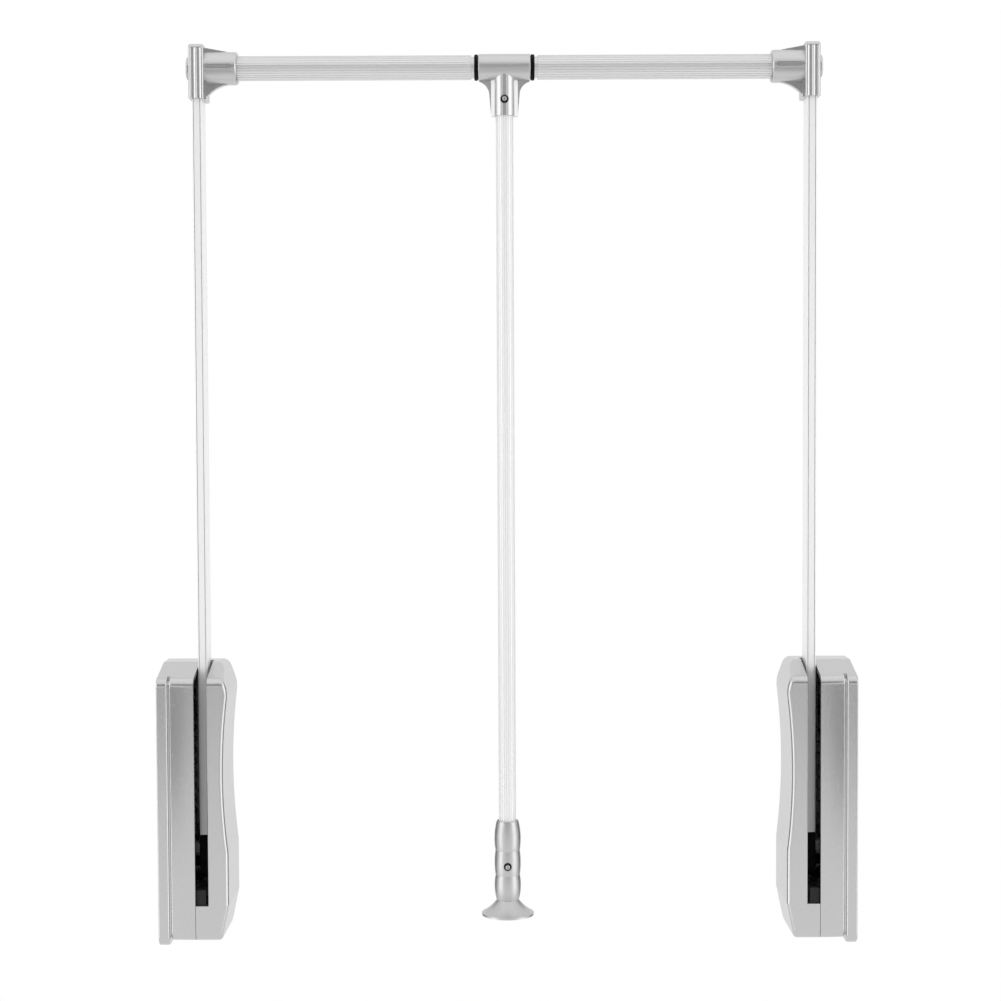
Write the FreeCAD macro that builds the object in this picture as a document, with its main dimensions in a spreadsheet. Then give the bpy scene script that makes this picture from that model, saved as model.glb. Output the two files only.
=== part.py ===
"""Pull down closet rod: two wall units, two swinging arms, a telescoping rail and a pull rod.

Millimetres. X runs along the rail, Y from the room (minus) into the closet (plus), Z up.
The origin lies midway between the units, on the plane under the wall plates.
"""
import FreeCAD, Part
import math
import os
import re

import Sketcher

doc = FreeCAD.newDocument("pull_down_closet_rod")
sheet = doc.addObject("Spreadsheet::Sheet", "sizes")

# Driving dimensions: name, value, what it is
SIZES = [
    ("overall_width", 660, "over the two wall plates, rail closed up"),
    ("unit_depth", 78, "of a wall unit, front to back"),
    ("crest_height", 265, "top of a unit behind its sloping brow"),
    ("brow_drop", 12, "front face's top under the crest"),
    ("brow_run", 44, "how far back the brow slopes"),
    ("corner_round", 9, "rounding of the unit's side outline"),
    ("edge_round", 4, "rounding of the inner casing's front and rear edges"),
    ("plate_thick", 10.3, "of the wall plate"),
    ("plate_drop", 4.5, "of the wall plate under the casing"),
    ("plate_round", 1.2, "of the wall plate's edges"),
    ("groove_round", 1.8, "of the edges beside the shadow groove"),
    ("seam_round", 0.4, "of the edges where the casing halves meet"),
    ("groove_width", 1.4, "of the shadow groove beside the plate"),
    ("groove_depth", 1.2, "of the shadow groove"),
    ("casing_crown", 1.5, "how far the outer casing's front falls back towards the groove"),
    ("outer_half_width", 24.9, "plate to seam"),
    ("inner_half_width", 31.3, "seam to the inner casing's crown"),
    ("case_wall", 3.2, "casing wall"),
    ("roof_drop", 4, "level roof over the spring under the crest's inside"),
    ("waist_depth", 4.6, "how far the inner side is drawn in"),
    ("waist_low", 88, "lower end of the waist"),
    ("waist_high", 236, "upper end of the waist"),
    ("foot_taper_height", 34, "sloped foot of the inner side"),
    ("foot_taper_width", 7, "of that slope"),
    ("brow_taper_height", 22, "sloped top of the inner side"),
    ("brow_taper_width", 8, "of that slope"),
    ("shoulder_round", 30, "where that slope meets the inner side"),
    ("crown_round", 10, "where that slope meets the top"),
    ("slot_width", 12.4, "arm slot beside the seam"),
    ("slot_bottom", 38.5, "lower end of the arm slot"),
    ("slot_rear", 17, "rear end of the arm slot in the top"),
    ("pivot_height", 85, "arm pivot above the plate's foot"),
    ("axle_dia", 8, "pivot axle"),
    ("boss_dia", 16, "bosses that hold the axle"),
    ("bush_dia", 12, "pivot bushes"),
    ("fit_gap", 0.05, "running fit on the radius"),
    ("side_gap", 0.6, "play beside moving pieces"),
    ("wall_hole_dia", 5.5, "screw holes in the wall plate"),
    ("wall_hole_pitch_y", 60, "between the wall screws, front to back"),
    ("wall_hole_pitch_z", 110, "between the wall screws, up and down"),
    ("case_screw_dia", 4, "screws that join the casing halves"),
    ("case_screw_head", 8, "their heads"),
    ("case_screw_head_height", 2.4, "their heads"),
    ("case_screw_reach", 13, "how far they enter the inner casing"),
    ("case_screw_inset", 14, "from the unit's front and rear"),
    ("case_post_dia", 14, "posts round the casing screws"),
    ("case_post_height", 9.5, "post centre over the casing's foot"),
    ("arm_width", 9, "arm tube along X"),
    ("arm_depth", 25, "arm tube along Y"),
    ("arm_wall", 1.6, "arm tube wall"),
    ("arm_round", 1.6, "rounding of the arm tube"),
    ("arm_flute", 0.7, "width of the two lines along the arm's front and back"),
    ("arm_flute_depth", 0.5, "depth of those lines"),
    ("arm_flute_pitch", 4.4, "between those lines"),
    ("arm_foot", 16, "arm tube's foot above the pivot"),
    ("arm_entry", 26, "arm tube inside the corner joint"),
    ("hub_depth", 26, "hub block front to back"),
    ("hub_drop", 25, "hub block under the pivot"),
    ("hub_rib", 1.2, "ribs on the hub's front"),
    ("hub_rib_pitch", 10, "between those ribs"),
    ("hub_round", 4, "rounding of the hub block"),
    ("tongue_length", 50, "hub tongue inside the arm tube"),
    ("rivet_dia", 4, "rivets through arm and tongue"),
    ("rivet_pitch", 24, "between the rivets"),
    ("crank_radius", 26, "crank pin from the pivot"),
    ("crank_dia", 8, "crank pin"),
    ("crank_eye_dia", 17, "round end of the crank"),
    ("crank_reach", 22.5, "crank pin past the hub into the carriage"),
    ("fork_gap", 1.4, "fork over and under the crank pin"),
    ("fork_wall", 5, "fork over and under its slot"),
    ("carriage_front", 9.4, "front of the carriage behind the pivot"),
    ("carriage_width", 22, "spring carriage along X"),
    ("spring_place", 17, "spring axis behind the pivot"),
    ("spring_dia", 14, "lift spring outside"),
    ("spring_wire", 2.4, "its wire"),
    ("seat_dia", 15, "upper spring seat"),
    ("seat_height", 11, "upper spring seat"),
    ("guide_dia", 6.5, "spring guide rod"),
    ("guide_length", 130, "spring guide rod"),
    ("guide_gap", 0.5, "guide rod in the seat"),
    ("damper_place", 29.9, "damper axis behind the pivot"),
    ("damper_dia", 9.6, "damper cylinder"),
    ("damper_bore", 7, "its bore"),
    ("damper_length", 100, "damper cylinder"),
    ("damper_end", 5, "its end walls"),
    ("damper_rod_dia", 4, "damper rod"),
    ("piston_rise", 7.6, "piston's top over its cylinder's floor"),
    ("piston_length", 6, "damper piston"),
    ("bumper_height", 16, "rest bumper"),
    ("bumper_thick", 6, "rest bumper"),
    ("bumper_level", 213, "rest bumper's middle"),
    ("bumper_gap", 0.3, "bumpers to the arm"),
    ("end_bumper_height", 14.8, "bumper on the slot's floor"),
    ("end_bumper_depth", 9, "bumper on the slot's floor"),
    ("end_bumper_inset", 2, "behind the unit's front face"),
    ("rail_height", 829, "rail axis above the plates' feet"),
    ("rail_dia", 23, "outer rail tubes"),
    ("rail_wall", 1.2, "rail tube walls"),
    ("rail_gap", 0.1, "telescoping fit on the radius"),
    ("rail_entry", 26, "rail tube inside the corner joint"),
    ("inner_tube_length", 440, "inner rail tube"),
    ("tee_length", 49.4, "tee along the rail"),
    ("tee_dia", 25.2, "tee along the rail"),
    ("tee_round", 1, "of the tee's ends"),
    ("tee_play", 0.15, "tee to its rings"),
    ("ring_width", 3.6, "collar rings"),
    ("ring_dia", 24.4, "collar rings"),
    ("ring_round", 1.2, "of the rings' edges"),
    ("rail_show", 3, "inner tube showing beside each ring"),
    ("sleeve_dia", 20.4, "tee sleeve round the pull rod"),
    ("sleeve_drop", 46, "lower end of the tee sleeve under the rail axis"),
    ("fin_thick", 3, "side fins of the sleeve, at their edges"),
    ("fin_slope_width", 29.2, "over the slopes from the sleeve onto the fins"),
    ("fin_slope_depth", 23.4, "over those slopes, front to back"),
    ("fin_foot_width", 25.2, "over the fins at the sleeve's foot"),
    ("fin_waist_width", 28.6, "over the fins at their shoulder"),
    ("fin_waist_drop", 26, "that shoulder under the rail axis"),
    ("fin_sweep", 13, "hollow curve from the shoulder to the tee's end"),
    ("small_screw_dia", 3.5, "tee and grip screws"),
    ("small_screw_head", 6.6, "their heads"),
    ("small_screw_head_height", 2, "their heads"),
    ("small_screw_reach", 5, "their shanks past the seat"),
    ("small_screw_ring", 0.8, "sunk ring round their heads"),
    ("tee_screw_drop", 31, "tee screw under the rail axis"),
    ("grip_screw_height", 68.5, "grip screw"),
    ("pull_rod_dia", 16.8, "pull rod"),
    ("pull_rod_wall", 1.4, "pull rod"),
    ("pull_rod_sink", 15, "upper end of the pull rod under the rail axis"),
    ("grip_foot", 20.2, "lower end of the grip"),
    ("grip_length", 90.8, "grip"),
    ("grip_bulge_dia", 25.2, "grip's three bulges"),
    ("grip_waist_dia", 23.4, "between the bulges"),
    ("grip_rim_dia", 20.8, "grip's upper rim"),
    ("grip_neck_dia", 21.4, "over the flange"),
    ("grip_flange_dia", 50, "flange at the grip's foot"),
    ("grip_flange_thick", 1.8, "its edge"),
    ("grip_cone_height", 12.4, "flared cone over the flange's edge"),
    ("grip_socket", 70, "depth of the pull rod in the grip"),
    ("grip_mouth_gap", 1.5, "widened mouth round the pull rod"),
    ("grip_mouth_depth", 3, "that mouth"),
    ("corner_width", 14.4, "corner joint block along X"),
    ("corner_depth", 33, "corner joint block along Y"),
    ("corner_rise", 21, "corner joint block over the rail axis"),
    ("corner_drop", 30, "corner joint block under the rail axis"),
    ("corner_brow", 3.8, "rounding of its top, front and back"),
    ("corner_shoulder", 1.2, "how far its lower rear part stands out"),
    ("corner_shoulder_set", 8, "that part behind the front"),
    ("corner_channel", 4.8, "two hollow channels down its front"),
    ("corner_channel_pitch", 5.3, "between those channels"),
    ("corner_channel_depth", 0.8, "those channels"),
    ("corner_bevel", 2, "its edges"),
    ("socket_dia", 30.8, "corner joint socket"),
    ("socket_length", 30.5, "corner joint socket"),
    ("socket_round", 2.4, "of the socket's mouth"),
    ("socket_strip", 3.4, "parting strip along the socket's front and back"),
    ("socket_line", 0.7, "grooves beside that strip"),
    ("socket_line_depth", 0.8, "those grooves"),
    ("gusset_thick", 7, "webs over and under the socket"),
    ("gusset_drop", 13.4, "lower web on the block"),
    ("gusset_reach", 26, "lower web along the socket"),
    ("gusset_sink", 0.6, "end of the lower web in the socket"),
    ("gusset_rise", 4, "upper web on the block"),
    ("cap_dia", 21.6, "round cap on the corner joint"),
    ("cap_thick", 3.2, "round cap"),
    ("cap_round", 1.2, "its edge"),
    ("clamp_screw_dia", 4, "screw behind the corner joint"),
    ("clamp_screw_head", 7, "its head"),
    ("clamp_screw_head_height", 2.2, "its head"),
    ("clamp_screw_drop", 17, "that screw under the rail axis"),
    ("overrun", 2, "cutting shapes past what they cut"),
]
# Arm swing from upright to lowered, and the crank's share of it before it is level
swing_angle = 115
crank_lead_share = 0.5
# Spring turns, and the carriage's travel per radian as a share of the crank radius
spring_turns = 15
carriage_rate_share = 0.88
# Heights of the grip's bulges and waists, as shares of the grip's length
grip_bulge_shares = (0.838, 0.555, 0.288)
grip_waist_shares = (0.686, 0.425)
# A point on the flange's hollow flare, as shares of the way out and down from the neck
grip_flare_shares = (0.48, 0.6)

for row, (alias, value, note) in enumerate(SIZES, start=1):
    sheet.set(f"A{row}", note)
    sheet.set(f"B{row}", str(value))
    sheet.setAlias(f"B{row}", alias)
doc.recompute()

NAMES = re.compile(r"\b(" + "|".join(alias for alias, value, note in SIZES) + r")\b")
X_AXIS = FreeCAD.Vector(1, 0, 0)
Y_AXIS = FreeCAD.Vector(0, 1, 0)
Z_AXIS = FreeCAD.Vector(0, 0, 1)

# Places that several pieces share, as sums of the sizes
WALL = "(-overall_width / 2)"
SEAM = f"({WALL} + plate_thick + outer_half_width)"
ARM_X = f"({SEAM} + side_gap + arm_width / 2)"
CASE_FOOT = "plate_drop"
INNER_TOP = "(crest_height + seam_round)"
CARRIAGE_X = f"({WALL} + plate_thick + outer_half_width / 2)"
CARRIAGE_HALF = "(crank_dia / 2 + fork_gap + fork_wall)"
LEAD = swing_angle * crank_lead_share
CRANK_Y = f"(crank_radius * cos({LEAD} deg))"
CRANK_Z = f"(pivot_height - crank_radius * sin({LEAD} deg))"
CARRIAGE_Z = f"(pivot_height - crank_radius * {carriage_rate_share * math.radians(LEAD):.6f})"
CARRIAGE_TOP = f"({CARRIAGE_Z} + {CARRIAGE_HALF})"
CEILING = "(crest_height - case_wall - roof_drop)"
PISTON_TOP = f"({CEILING} - damper_length + damper_end + piston_rise)"
INNER_TUBE_DIA = "(rail_dia - 2 * rail_wall - 2 * rail_gap)"
RING_FACE = "(tee_length / 2 + tee_play)"
RAIL_END = f"({RING_FACE} + ring_width + rail_show)"
CORNER_FACE = f"({ARM_X} + corner_width / 2)"
CORNER_FOOT = "(rail_height - corner_drop)"
CLAMP_SCREW_Z = "(rail_height - clamp_screw_drop)"
SLEEVE_FRONT = "(-sleeve_dia / 2)"
SLEEVE_FOOT = "(rail_height - sleeve_drop)"
TEE_SCREW_Z = "(rail_height - tee_screw_drop)"
PULL_ROD_TOP = "(rail_height - pull_rod_sink)"


def size(text):
    """Value of a sum of named sizes."""
    return sheet.evalExpression(NAMES.sub(r"sizes.\1", text))


def bind(thing, **sums):
    """Bind properties to sums of named sizes; at_x, at_y and at_z place the object."""
    for key, text in sums.items():
        path = f".Placement.Base.{key[-1]}" if key.startswith("at_") else key
        thing.setExpression(path, NAMES.sub(r"sizes.\1", text))
    return thing


def block(name, low_x, low_y, low_z, length, width, height):
    thing = doc.addObject("Part::Box", name)
    return bind(thing, at_x=low_x, at_y=low_y, at_z=low_z, Length=length, Width=width, Height=height)


def rod(name, axis, at_x, at_y, at_z, dia, length):
    """A cylinder whose base centre lies at the given place and that grows along the axis."""
    thing = doc.addObject("Part::Cylinder", name)
    thing.Placement = FreeCAD.Placement(FreeCAD.Vector(), FreeCAD.Rotation(Z_AXIS, axis))
    return bind(thing, at_x=at_x, at_y=at_y, at_z=at_z, Radius=f"({dia}) / 2", Height=length)


def fuse(name, *shapes):
    thing = doc.addObject("Part::MultiFuse", name)
    thing.Shapes = list(shapes)
    thing.Refine = True
    return thing


def cut(name, base, *tools):
    thing = doc.addObject("Part::Cut", name)
    thing.Base = base
    thing.Tool = tools[0] if len(tools) == 1 else fuse(name + "_cutters", *tools)
    thing.Refine = True
    return thing


def common(name, *shapes):
    thing = doc.addObject("Part::MultiCommon", name)
    thing.Shapes = list(shapes)
    return thing


def rounded(name, base, radius, wanted):
    """Fillet of the base's edges that the wanted test picks."""
    doc.recompute()
    thing = doc.addObject("Part::Fillet", name)
    thing.Base = base
    reach = size(radius)
    thing.Edges = [(index, reach, reach) for index, edge in enumerate(base.Shape.Edges, 1) if wanted(edge)]
    return thing


def along(edge, axis):
    """True for a straight edge that runs along the axis."""
    if edge.Curve.TypeId != "Part::GeomLine":
        return False
    return abs(abs(edge.tangentAt(edge.FirstParameter).dot(axis)) - 1) < 1e-6


def across(edge, place):
    """True for an edge that lies in the plane square to X at the given place."""
    box = edge.BoundBox
    return max(abs(box.XMin - size(place)), abs(box.XMax - size(place))) < 1e-6


def pad(name, plane, points, length, **place):
    """A body with one closed outline of straight lines, padded evenly to both sides of its plane."""
    body = doc.addObject("PartDesign::Body", name)
    sketch = body.newObject("Sketcher::SketchObject", name + "_outline")
    origin_plane = next(item for item in body.Origin.OriginFeatures if item.Role == plane)
    sketch.AttachmentSupport = [(origin_plane, "")]
    sketch.MapMode = "FlatFace"
    corners = [FreeCAD.Vector(size(aside), size(up), 0) for aside, up in points]
    for index, corner in enumerate(corners):
        sketch.addGeometry(Part.LineSegment(corner, corners[(index + 1) % len(corners)]), False)
    for index, (aside, up) in enumerate(points):
        previous = (index - 1) % len(points)
        sketch.addConstraint(Sketcher.Constraint("Coincident", previous, 2, index, 1))
        for kind, text in (("DistanceX", aside), ("DistanceY", up)):
            number = sketch.addConstraint(Sketcher.Constraint(kind, index, 1, size(text)))
            sketch.setExpression(f"Constraints[{number}]", NAMES.sub(r"sizes.\1", text))
    feature = body.newObject("PartDesign::Pad", name + "_pad")
    feature.Profile = sketch
    feature.SideType = "Symmetric"
    bind(feature, Length=length)
    return bind(body, **place)


def unit_outline(inset, foot):
    """Side outline of a wall unit, drawn in by the inset."""
    front = f"-unit_depth / 2 + {inset}"
    rear = f"unit_depth / 2 - {inset}"
    top = f"crest_height - {inset}"
    return [
        (front, f"{foot} + {inset}"),
        (rear, f"{foot} + {inset}"),
        (rear, top),
        ("-unit_depth / 2 + brow_run", top),
        (front, f"{top} - brow_drop"),
    ]


def unit_corner(edge, width):
    """True for an edge across the unit's width, but not the shallow break between brow and crest."""
    box = edge.BoundBox
    return box.XLength > size(width) / 2 and abs(box.YMin - size("brow_run - unit_depth / 2")) > 1e-3


def unit_slab(name, inset, foot, low_x, width, round_by):
    """The unit's side outline with rounded corners, from low_x over the given width."""
    slab = pad(name, "YZ_Plane", unit_outline(inset, foot), width, at_x=f"{low_x} + ({width}) / 2")
    return rounded(name + "_rounded", slab, round_by, lambda edge: unit_corner(edge, width))


def top_lid(name, low_x, width):
    """The unit's top alone, square at both sides, where the shadow groove stops."""
    slab = unit_slab(name + "_slab", "0", CASE_FOOT, low_x, width, "corner_round")
    zone = block(name + "_zone", low_x, "-unit_depth / 2 + corner_round",
                 "crest_height - brow_drop - corner_round", width, "unit_depth", "brow_drop + 2 * corner_round")
    return common(name, slab, zone)


PIECES = {}


def piece(label, thing):
    """Register a finished object as a node of the part."""
    thing.Label = label
    PIECES[label] = thing
    return thing


def wall_plate():
    slab = unit_slab("plate_slab", "0", "0", WALL, "plate_thick", "corner_round")
    slab = rounded("plate_eased", slab, "plate_round", lambda edge: across(edge, WALL))
    slab = rounded("plate_grooved", slab, "groove_round",
                   lambda edge: across(edge, f"{WALL} + plate_thick"))
    boss = rod("plate_boss", X_AXIS, WALL, "0", "pivot_height", "boss_dia",
               "plate_thick + outer_half_width - side_gap")
    bore = rod("plate_bore", X_AXIS, f"{WALL} + plate_thick", "0", "pivot_height", "axle_dia",
               "outer_half_width")
    cutters = [bore]
    for number, (side, up) in enumerate(((-1, -1), (-1, 1), (1, -1), (1, 1))):
        cutters.append(rod(
            f"wall_hole_{number}", X_AXIS, f"{WALL} - overrun",
            f"wall_hole_pitch_y * {side} / 2", f"pivot_height + wall_hole_pitch_z * {up} / 2",
            "wall_hole_dia", "plate_thick + 2 * overrun",
        ))
    cutters += case_screw_shapes("plate")
    lid = top_lid("plate_lid", f"{WALL} + plate_thick - 2 * groove_round", "2 * groove_round")
    return cut("wall_plate", fuse("plate_with_boss", slab, lid, boss), *cutters)


def case_screw_shapes(owner):
    """The two casing screws, heads flush with the wall plate's back."""
    screws = []
    for side in (-1, 1):
        place = (f"{side} * (unit_depth / 2 - case_screw_inset)", f"{CASE_FOOT} + case_post_height")
        tag = f"{owner}_case_screw_{'front' if side < 0 else 'rear'}"
        head = rod(tag + "_head", X_AXIS, WALL, *place, "case_screw_head", "case_screw_head_height")
        shank = rod(tag + "_shank", X_AXIS, WALL, *place, "case_screw_dia",
                    "plate_thick + outer_half_width + case_screw_reach")
        screws.append(fuse(tag, head, shank))
    return screws


def outer_casing():
    start = f"{WALL} + plate_thick"
    width = "(outer_half_width - groove_width)"
    slab = pad("outer_slab", "YZ_Plane", unit_outline("0", CASE_FOOT), width, at_x=f"{SEAM} - {width} / 2")
    sweep = f"(({width}^2 + casing_crown^2) / (2 * casing_crown))"
    crown = rod("outer_crown", Z_AXIS, SEAM, f"-unit_depth / 2 + fit_gap + {sweep}",
                f"{CASE_FOOT} - overrun", f"2 * {sweep}", "crest_height + overrun")
    shell = rounded("outer_shell", common("outer_crowned", slab, crown), "corner_round",
                    lambda edge: unit_corner(edge, width))
    shell = rounded("outer_grooved", shell, "groove_round",
                    lambda edge: across(edge, f"{start} + groove_width"))
    shell = rounded("outer_seamed", shell, "seam_round", lambda edge: across(edge, SEAM))
    inset = "(groove_depth + casing_crown)"
    neck = unit_slab("outer_neck", inset, CASE_FOOT, start, "groove_width + overrun",
                     f"corner_round - {inset}")
    cavity = unit_slab("outer_cavity", "case_wall", CASE_FOOT, f"{start} - overrun",
                       "outer_half_width + 2 * overrun", "corner_round - case_wall")
    posts = []
    for side in (-1, 1):
        post = rod(f"outer_post_{side + 1}", X_AXIS, start, f"{side} * (unit_depth / 2 - case_screw_inset)",
                   f"{CASE_FOOT} + case_post_height", "case_post_dia", "outer_half_width")
        posts.append(post)
    roof = block("outer_roof", f"{start} + groove_width", "spring_place - seat_dia / 2", CEILING,
                 width, "unit_depth / 2 - case_wall / 2 - spring_place + seat_dia / 2", "case_wall")
    lid = top_lid("outer_lid", start, "groove_width + 2 * groove_round")
    skin = fuse("outer_skin", shell, neck, lid)
    frame = fuse("outer_frame", cut("outer_hollow", skin, cavity), roof, *posts)
    return cut("outer_casing", frame, *case_screw_shapes("outer"))


def inner_profile():
    """Front outline of the inner casing half: sloped foot, upright side and sloped brow."""
    side = f"{SEAM} + inner_half_width"
    return [
        (SEAM, CASE_FOOT),
        (f"{side} - foot_taper_width", CASE_FOOT),
        (side, f"{CASE_FOOT} + foot_taper_height"),
        (side, "crest_height - brow_taper_height"),
        (f"{side} - brow_taper_width", INNER_TOP),
        (SEAM, INNER_TOP),
    ]


def inner_casing():
    front = pad("inner_front", "XZ_Plane", inner_profile(), "unit_depth")
    for name, radius, height in (("inner_shouldered", "shoulder_round", "crest_height - brow_taper_height"),
                                 ("inner_crowned", "crown_round", INNER_TOP)):
        front = rounded(name, front, radius, lambda edge: along(edge, Y_AXIS)
                        and abs(edge.BoundBox.ZMin - size(height)) < 1e-6
                        and edge.BoundBox.XMin > size(f"{SEAM} + overrun"))
    slab = unit_slab("inner_slab", "0", CASE_FOOT, SEAM, "inner_half_width", "corner_round")
    slab = rounded("inner_seamed", slab, "seam_round", lambda edge: across(edge, SEAM))
    body = common("inner_form", front, slab)
    chord = "(waist_high - waist_low)"
    sweep = f"((({chord} / 2)^2 + waist_depth^2) / (2 * waist_depth))"
    waist = rod("inner_waist", Y_AXIS, f"{SEAM} + inner_half_width - waist_depth + {sweep}",
                "-unit_depth / 2 - overrun", "(waist_low + waist_high) / 2", f"2 * {sweep}",
                "unit_depth + 2 * overrun")
    body = cut("inner_waisted", body, waist)
    mid_x = size(f"{SEAM} + inner_half_width / 2")
    front_y = size("unit_depth / 2")

    def inner_edge(edge):
        box = edge.BoundBox
        at_face = abs(abs(box.YMin) - front_y) < 1e-6 and abs(abs(box.YMax) - front_y) < 1e-6
        return at_face and box.XMin > mid_x
    body = rounded("inner_eased", body, "edge_round", inner_edge)
    depth = "inner_half_width - waist_depth - case_wall"
    hollow = unit_slab("inner_cavity", "case_wall", f"{CASE_FOOT} + foot_taper_height",
                       f"{SEAM} - overrun", f"{depth} + overrun", "corner_round - case_wall")
    slot = block("inner_slot", SEAM, "-unit_depth / 2 - overrun", "slot_bottom", "slot_width",
                 "unit_depth / 2 + overrun + slot_rear", "crest_height")
    boss = rod("inner_boss", X_AXIS, f"{SEAM} + arm_width + 2 * side_gap", "0", "pivot_height", "boss_dia",
               f"{depth} - arm_width - 2 * side_gap + overrun / 2")
    rib = block("inner_rib", SEAM, "arm_depth / 2 + bumper_gap + bumper_thick",
                "bumper_level - bumper_height / 2", f"{depth} + overrun / 2",
                "unit_depth / 2 - arm_depth / 2 - bumper_gap - bumper_thick - case_wall / 2",
                "bumper_height")
    bore = rod("inner_bore", X_AXIS, SEAM, "0", "pivot_height", "axle_dia", depth)
    frame = fuse("inner_frame", cut("inner_hollow", body, hollow, slot), boss, rib)
    return cut("inner_casing", frame, bore, *case_screw_shapes("inner"))


def pivot_axle():
    start = f"({WALL} + plate_thick)"
    depth = "(outer_half_width + inner_half_width - waist_depth - case_wall)"
    return rod("pivot_axle", X_AXIS, start, "0", "pivot_height", "axle_dia", depth)


def pivot_bushes():
    bushes = []
    for side in (0, 1):
        low = f"{ARM_X} - arm_width / 2 + {side} * arm_width / 2"
        sleeve = rod(f"bush_sleeve_{side}", X_AXIS, low, "0", "pivot_height", "bush_dia", "arm_width / 2")
        hole = rod(f"bush_hole_{side}", X_AXIS, f"{low} - overrun", "0", "pivot_height",
                   "axle_dia + 2 * fit_gap", "arm_width / 2 + 2 * overrun")
        bushes.append(cut(f"bush_{side}", sleeve, hole))
    thing = doc.addObject("Part::Compound", "pivot_bushes")
    thing.Links = bushes
    return thing


def rivet_shapes(owner):
    rivets = []
    for number in (0, 1):
        rivets.append(rod(
            f"{owner}_rivet_{number}", X_AXIS, f"{ARM_X} - arm_width / 2", "0",
            f"pivot_height + arm_foot + (tongue_length - rivet_pitch) / 2 + {number} * rivet_pitch",
            "rivet_dia", "arm_width",
        ))
    return rivets


def arm_rivets():
    thing = doc.addObject("Part::Compound", "arm_rivets")
    thing.Links = rivet_shapes("arm_rivets")
    return thing


def arm_hub():
    low = f"{ARM_X} - arm_width / 2"
    core = block("hub_core", low, "-hub_depth / 2", "pivot_height - hub_drop", "arm_width",
                 "hub_depth", "hub_drop + arm_foot")
    core = rounded("hub_core_rounded", core, "hub_round", lambda edge: along(edge, X_AXIS))
    ribs = []
    for number in (-1, 0, 1):
        ribs.append(block(
            f"hub_rib_{number + 1}", f"{low} + hub_rib", "-hub_depth / 2 - hub_rib",
            f"pivot_height - hub_rib / 2 + {number} * hub_rib_pitch", "arm_width - 2 * hub_rib",
            "hub_depth / 2", "hub_rib",
        ))
    tongue = block("hub_tongue", f"{low} + arm_wall", "-arm_depth / 2 + arm_wall",
                   "pivot_height", "arm_width - 2 * arm_wall", "arm_depth - 2 * arm_wall",
                   "arm_foot + tongue_length")
    eye = rod("crank_eye", X_AXIS, low, CRANK_Y, CRANK_Z, "crank_eye_dia", "arm_width")
    turn = 90 - LEAD
    web = block(
        "crank_web", low,
        f"-crank_eye_dia / 2 * cos({turn} deg) + crank_radius * sin({turn} deg)",
        f"pivot_height - crank_eye_dia / 2 * sin({turn} deg) - crank_radius * cos({turn} deg)",
        "arm_width", "crank_eye_dia", "crank_radius",
    )
    web.Placement = FreeCAD.Placement(FreeCAD.Vector(), FreeCAD.Rotation(X_AXIS, turn))
    bore = rod("hub_bore", X_AXIS, f"{low} - overrun", "0", "pivot_height", "bush_dia",
               "arm_width + 2 * overrun")
    pin_hole = rod("crank_hole", X_AXIS, f"{low} - overrun", CRANK_Y, CRANK_Z, "crank_dia",
                   "arm_width + 2 * overrun")
    form = fuse("hub_form", core, *ribs, tongue, eye, web)
    return cut("arm_hub", form, bore, pin_hole, *rivet_shapes("hub"))


def crank_pin():
    return rod("crank_pin", X_AXIS, f"{ARM_X} - arm_width / 2 - crank_reach", CRANK_Y, CRANK_Z,
               "crank_dia", "crank_reach + arm_width")


def arm():
    low = f"{ARM_X} - arm_width / 2"
    foot = "pivot_height + arm_foot"
    height = f"{CORNER_FOOT} + arm_entry - pivot_height - arm_foot"
    skin = block("arm_skin", low, "-arm_depth / 2", foot, "arm_width", "arm_depth", height)
    skin = rounded("arm_skin_rounded", skin, "arm_round", lambda edge: along(edge, Z_AXIS))
    inside = block("arm_inside", f"{low} + arm_wall", "-arm_depth / 2 + arm_wall", f"{foot} - overrun",
                   "arm_width - 2 * arm_wall", "arm_depth - 2 * arm_wall", f"{height} + 2 * overrun")
    lines = []
    for number, (side, face) in enumerate(((-1, -1), (1, -1), (-1, 1), (1, 1))):
        lines.append(block(
            f"arm_line_{number}", f"{ARM_X} + {side} * arm_flute_pitch / 2 - arm_flute / 2",
            f"{face} * arm_depth / 2 - arm_flute_depth", f"{foot} - overrun", "arm_flute",
            "2 * arm_flute_depth", f"{height} + 2 * overrun",
        ))
    return cut("arm", skin, inside, *lines, *rivet_shapes("arm"), clamp_screw_shape("arm"))


def spring_carriage():
    slot_height = "crank_dia + 2 * fork_gap"
    rear = "(unit_depth / 2 - case_wall - side_gap)"
    low = f"{CARRIAGE_X} - carriage_width / 2"
    form = block("carriage_form", low, "carriage_front", f"{CARRIAGE_Z} - {CARRIAGE_HALF}",
                 "carriage_width", f"{rear} - carriage_front", f"2 * {CARRIAGE_HALF}")
    slot = block("carriage_slot", f"{low} - overrun", "carriage_front - overrun",
                 f"{CARRIAGE_Z} - ({slot_height}) / 2", "carriage_width + 2 * overrun",
                 "crank_radius + crank_dia / 2 + fork_gap + overrun - carriage_front", slot_height)
    return cut("spring_carriage", form, slot)


def spring_guide():
    return rod("spring_guide", Z_AXIS, CARRIAGE_X, "spring_place", CARRIAGE_TOP, "guide_dia", "guide_length")


def spring_seat():
    body = rod("seat_body", Z_AXIS, CARRIAGE_X, "spring_place", f"{CEILING} - seat_height", "seat_dia",
               "seat_height")
    hole = rod("seat_hole", Z_AXIS, CARRIAGE_X, "spring_place", f"{CEILING} - seat_height - overrun",
               "guide_dia + 2 * guide_gap", "seat_height + 2 * overrun")
    return cut("spring_seat", body, hole)


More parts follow.
